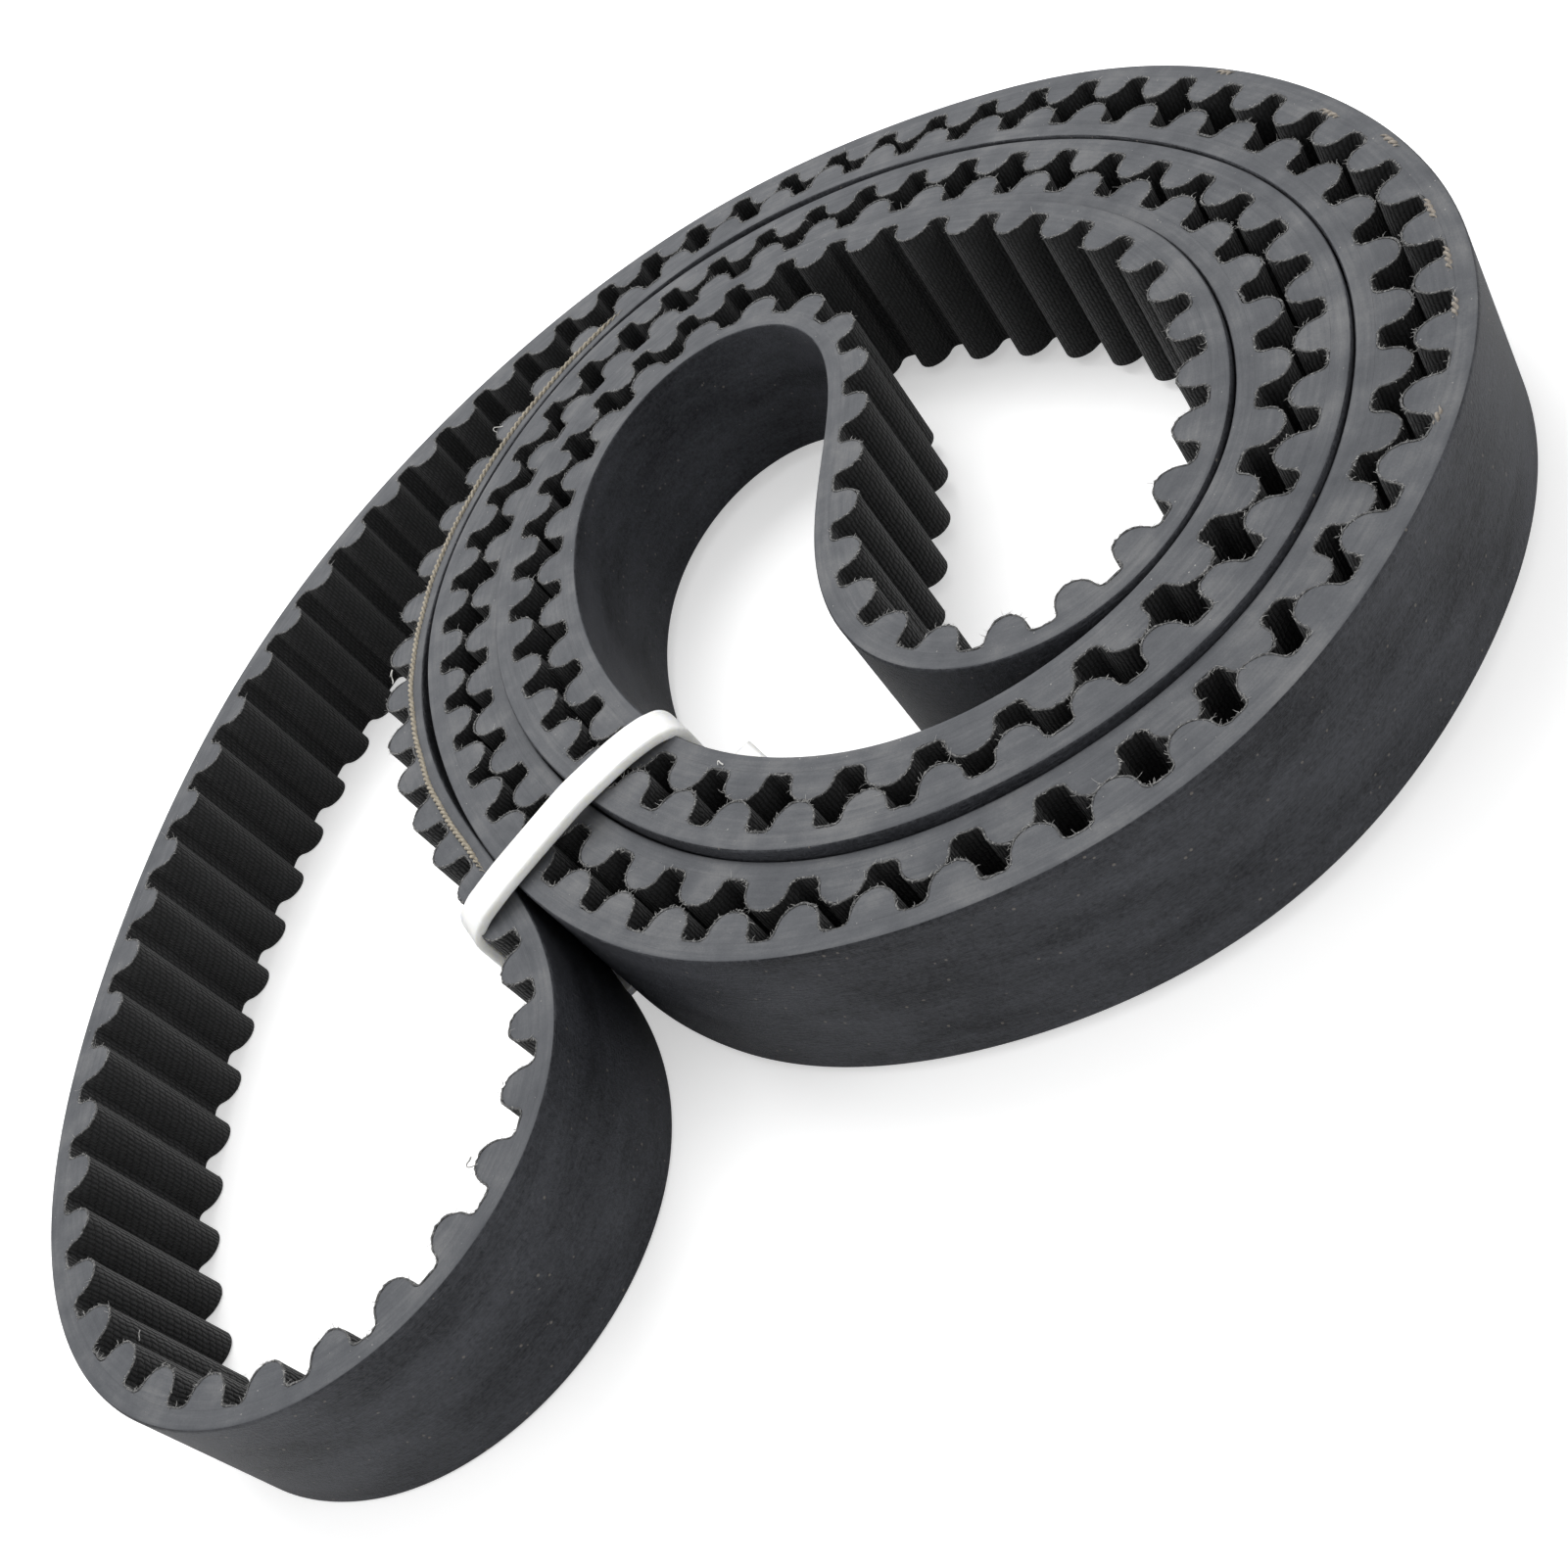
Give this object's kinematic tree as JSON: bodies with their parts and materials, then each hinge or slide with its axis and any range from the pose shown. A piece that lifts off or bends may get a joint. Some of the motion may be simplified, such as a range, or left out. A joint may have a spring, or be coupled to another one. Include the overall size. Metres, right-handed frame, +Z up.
{
  "type": "endless curvilinear timing belt, coiled and tied",
  "caption": "Endless single-sided rubber timing belt with rounded teeth, folded double and wound into a flat coil on its edge, held by one white nylon cable tie.",
  "frame": {"origin": "centre of the bounding box seen from above, on the resting edge", "axes": "+Z up, the belt width; X and Y in the plane of the coil, free loop towards -X -Y"},
  "size_m": [0.1731, 0.1664, 0.0218],
  "materials": {
    "backing_rubber": "satin moulded and ground polychloroprene, cut edges dull grey",
    "tooth_rubber": "dull cut polychloroprene",
    "facing_fabric": "black woven nylon twill, treated",
    "cord_glass": "twisted glass cord, dipped",
    "cord_dipped": "cut end winding, two-ply, tan",
    "tie_nylon": "natural translucent nylon"
  },
  "bodies": {
    "belt": {"backing": "backing_rubber", "cord_s_01": "cord_glass", "cord_z_02": "cord_glass", "cord_s_03": "cord_glass", "cord_z_04": "cord_glass", "cord_s_05": "cord_glass", "cord_z_06": "cord_glass", "cord_s_07": "cord_glass", "cord_z_08": "cord_glass", "cord_s_09": "cord_glass", "cord_z_10": "cord_glass", "cord_s_11": "cord_glass", "cord_z_12": "cord_glass", "cord_s_13": "cord_glass", "cord_z_14": "cord_glass", "cord_s_15": "cord_glass", "cord_z_16": "cord_glass", "cord_edge": "cord_dipped", "tooth_rubber": "tooth_rubber", "tooth_facing": "facing_fabric", "tie_strap": "tie_nylon", "tie_head": "tie_nylon"},
    "pawl": {"tie_pawl": "tie_nylon"}
  },
  "joints": [
    {"name": "pawl_lift", "type": "hinge", "parent": "belt", "child": "pawl", "pos_m": [-0.00015, -0.01771, 0.00768], "axis": [0.5446, -0.8387, 0], "range_deg": [0, 12]}
  ]
}
